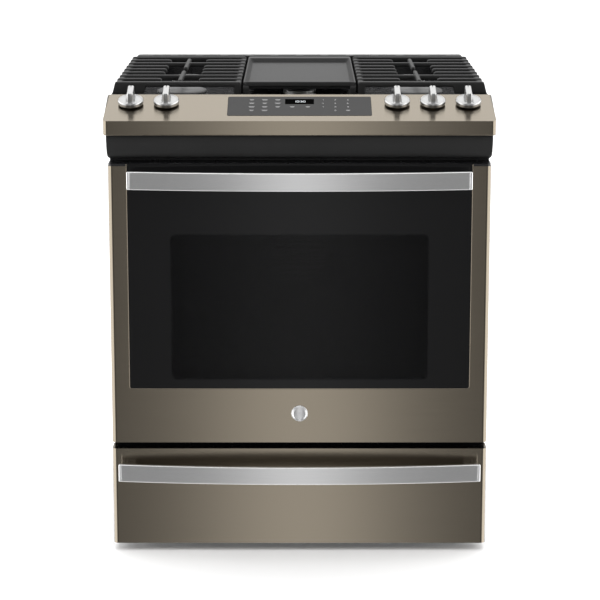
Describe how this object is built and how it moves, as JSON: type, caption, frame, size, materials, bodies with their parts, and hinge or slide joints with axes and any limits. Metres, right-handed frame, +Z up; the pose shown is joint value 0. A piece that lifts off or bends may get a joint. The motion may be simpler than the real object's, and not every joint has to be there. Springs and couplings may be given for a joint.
{
  "type": "gas range",
  "caption": "Slide-in gas range with a front control panel, five burners under cast grates and a griddle, a drop-down oven door and a storage drawer.",
  "frame": {"origin": "on the floor, under the middle of the overall box", "axes": "+Z up, -Y towards the person cooking (the door, drawer and control panel face -Y), +X to that person's right"},
  "size_m": [0.775, 0.727, 0.9469],
  "materials": {
    "slate_steel": "satin metallic slate coating",
    "brushed_steel": "brushed along its length",
    "knob_metal": "bright satin",
    "black_enamel": "gloss black enamel",
    "black_paint": "satin black",
    "black_glass": "black printed glass",
    "clear_glass": "clear",
    "touch_glass": "grey printed glass",
    "cast_iron": "matt enamelled",
    "cap_enamel": "matt enamelled",
    "aluminium": "cast and drawn",
    "galvanised": "zinc coated",
    "chrome_rod": "bright plated",
    "glass_wool": "fibre blanket",
    "gasket_weave": "woven",
    "brass": "turned",
    "black_plastic": "moulded"
  },
  "bodies": {
    "chassis": {"left_side_panel": "black_paint", "right_side_panel": "black_paint", "back_panel": "galvanised", "front_frame": "black_enamel", "base_frame": "galvanised", "oven_liner": "black_enamel", "insulation_wrap": "glass_wool", "door_gasket": "gasket_weave", "broil_burner": "aluminium", "bake_burner": "aluminium", "fan_cover": "black_enamel", "fan_motor": "galvanised", "door_hinge_left": "galvanised", "door_hinge_right": "galvanised", "control_panel": "slate_steel", "touch_panel": "touch_glass", "manifold_panel": "black_paint", "gas_manifold": "aluminium", "pressure_regulator": "aluminium", "cord_gland": "black_plastic", "cooktop": "black_enamel", "rear_vent_trim": "black_paint", "burner_head_left_front": "aluminium", "burner_head_left_rear": "aluminium", "burner_head_right_front": "aluminium", "burner_head_right_rear": "aluminium", "burner_head_center": "aluminium", "burner_cap_left_front": "cap_enamel", "burner_cap_left_rear": "cap_enamel", "burner_cap_right_front": "cap_enamel", "burner_cap_right_rear": "cap_enamel", "burner_cap_center": "cap_enamel"},
    "oven_door": {"door_skin": "slate_steel", "door_glass": "black_glass", "door_liner": "black_enamel", "door_inner_glass": "clear_glass", "door_handle": "brushed_steel"},
    "storage_drawer": {"drawer_front": "slate_steel", "drawer_box": "black_paint", "drawer_handle": "brushed_steel"},
    "valve_left_rear": {"spindle_left_rear": "brass"},
    "valve_left_front": {"spindle_left_front": "brass"},
    "valve_center": {"spindle_center": "brass"},
    "valve_right_front": {"spindle_right_front": "brass"},
    "valve_right_rear": {"spindle_right_rear": "brass"},
    "knob_left_rear": {"knob_left_rear": "knob_metal"},
    "knob_left_front": {"knob_left_front": "knob_metal"},
    "knob_center": {"knob_center": "knob_metal"},
    "knob_right_front": {"knob_right_front": "knob_metal"},
    "knob_right_rear": {"knob_right_rear": "knob_metal"},
    "lower_rack": {"lower_oven_rack": "chrome_rod"},
    "upper_rack": {"upper_oven_rack": "chrome_rod"},
    "fan": {"convection_fan": "aluminium"},
    "left_grate": {"left_grate": "cast_iron"},
    "right_grate": {"right_grate": "cast_iron"},
    "griddle": {"griddle": "cast_iron"},
    "front_left_leg": {"front_left_leg": "galvanised"},
    "front_right_leg": {"front_right_leg": "galvanised"},
    "rear_left_leg": {"rear_left_leg": "galvanised"},
    "rear_right_leg": {"rear_right_leg": "galvanised"}
  },
  "joints": [
    {"name": "oven_door_hinge", "type": "hinge", "parent": "chassis", "child": "oven_door", "pos_m": [0, -0.2865, 0.24], "axis": [1, 0, 0], "range_deg": [0, 88], "stiffness_Nm_per_rad": 15, "springref_deg": -22.92},
    {"name": "drawer_slide", "type": "slide", "parent": "chassis", "child": "storage_drawer", "axis": [0, -1, 0], "range_m": [0, 0.4]},
    {"name": "valve_turn_left_rear", "type": "hinge", "parent": "chassis", "child": "valve_left_rear", "pos_m": [-0.337, -0.2345, 0.9102], "axis": [0, -0.309, 0.9511], "range_deg": [0, 240]},
    {"name": "knob_push_left_rear", "type": "slide", "parent": "valve_left_rear", "child": "knob_left_rear", "axis": [0, 0.309, -0.9511], "range_m": [0, 0.0025], "stiffness_N_per_m": 1500, "springref_m": -0.002},
    {"name": "valve_turn_left_front", "type": "hinge", "parent": "chassis", "child": "valve_left_front", "pos_m": [-0.266, -0.2345, 0.9102], "axis": [0, -0.309, 0.9511], "range_deg": [0, 240]},
    {"name": "knob_push_left_front", "type": "slide", "parent": "valve_left_front", "child": "knob_left_front", "axis": [0, 0.309, -0.9511], "range_m": [0, 0.0025], "stiffness_N_per_m": 1500, "springref_m": -0.002},
    {"name": "valve_turn_center", "type": "hinge", "parent": "chassis", "child": "valve_center", "pos_m": [0.195, -0.2345, 0.9102], "axis": [0, -0.309, 0.9511], "range_deg": [0, 240]},
    {"name": "knob_push_center", "type": "slide", "parent": "valve_center", "child": "knob_center", "axis": [0, 0.309, -0.9511], "range_m": [0, 0.0025], "stiffness_N_per_m": 1500, "springref_m": -0.002},
    {"name": "valve_turn_right_front", "type": "hinge", "parent": "chassis", "child": "valve_right_front", "pos_m": [0.266, -0.2345, 0.9102], "axis": [0, -0.309, 0.9511], "range_deg": [0, 240]},
    {"name": "knob_push_right_front", "type": "slide", "parent": "valve_right_front", "child": "knob_right_front", "axis": [0, 0.309, -0.9511], "range_m": [0, 0.0025], "stiffness_N_per_m": 1500, "springref_m": -0.002},
    {"name": "valve_turn_right_rear", "type": "hinge", "parent": "chassis", "child": "valve_right_rear", "pos_m": [0.337, -0.2345, 0.9102], "axis": [0, -0.309, 0.9511], "range_deg": [0, 240]},
    {"name": "knob_push_right_rear", "type": "slide", "parent": "valve_right_rear", "child": "knob_right_rear", "axis": [0, 0.309, -0.9511], "range_m": [0, 0.0025], "stiffness_N_per_m": 1500, "springref_m": -0.002},
    {"name": "lower_rack_slide", "type": "slide", "parent": "chassis", "child": "lower_rack", "axis": [0, -1, 0], "range_m": [0, 0.01]},
    {"name": "upper_rack_slide", "type": "slide", "parent": "chassis", "child": "upper_rack", "axis": [0, -1, 0], "range_m": [0, 0.01]},
    {"name": "fan_spin", "type": "hinge", "parent": "chassis", "child": "fan", "pos_m": [0, 0.2135, 0.50976], "axis": [0, -1, 0], "continuous": true},
    {"name": "left_grate_lift", "type": "slide", "parent": "chassis", "child": "left_grate", "axis": [0, 0, 1], "range_m": [0, 0.06]},
    {"name": "right_grate_lift", "type": "slide", "parent": "chassis", "child": "right_grate", "axis": [0, 0, 1], "range_m": [0, 0.06]},
    {"name": "griddle_lift", "type": "slide", "parent": "chassis", "child": "griddle", "axis": [0, 0, 1], "range_m": [0, 0.06]},
    {"name": "front_left_leg_turn", "type": "hinge", "parent": "chassis", "child": "front_left_leg", "pos_m": [-0.3616, -0.2105, 0], "axis": [0, 0, 1], "continuous": true},
    {"name": "front_right_leg_turn", "type": "hinge", "parent": "chassis", "child": "front_right_leg", "pos_m": [0.3616, -0.2105, 0], "axis": [0, 0, 1], "continuous": true},
    {"name": "rear_left_leg_turn", "type": "hinge", "parent": "chassis", "child": "rear_left_leg", "pos_m": [-0.3616, 0.2935, 0], "axis": [0, 0, 1], "continuous": true},
    {"name": "rear_right_leg_turn", "type": "hinge", "parent": "chassis", "child": "rear_right_leg", "pos_m": [0.3616, 0.2935, 0], "axis": [0, 0, 1], "continuous": true}
  ]
}
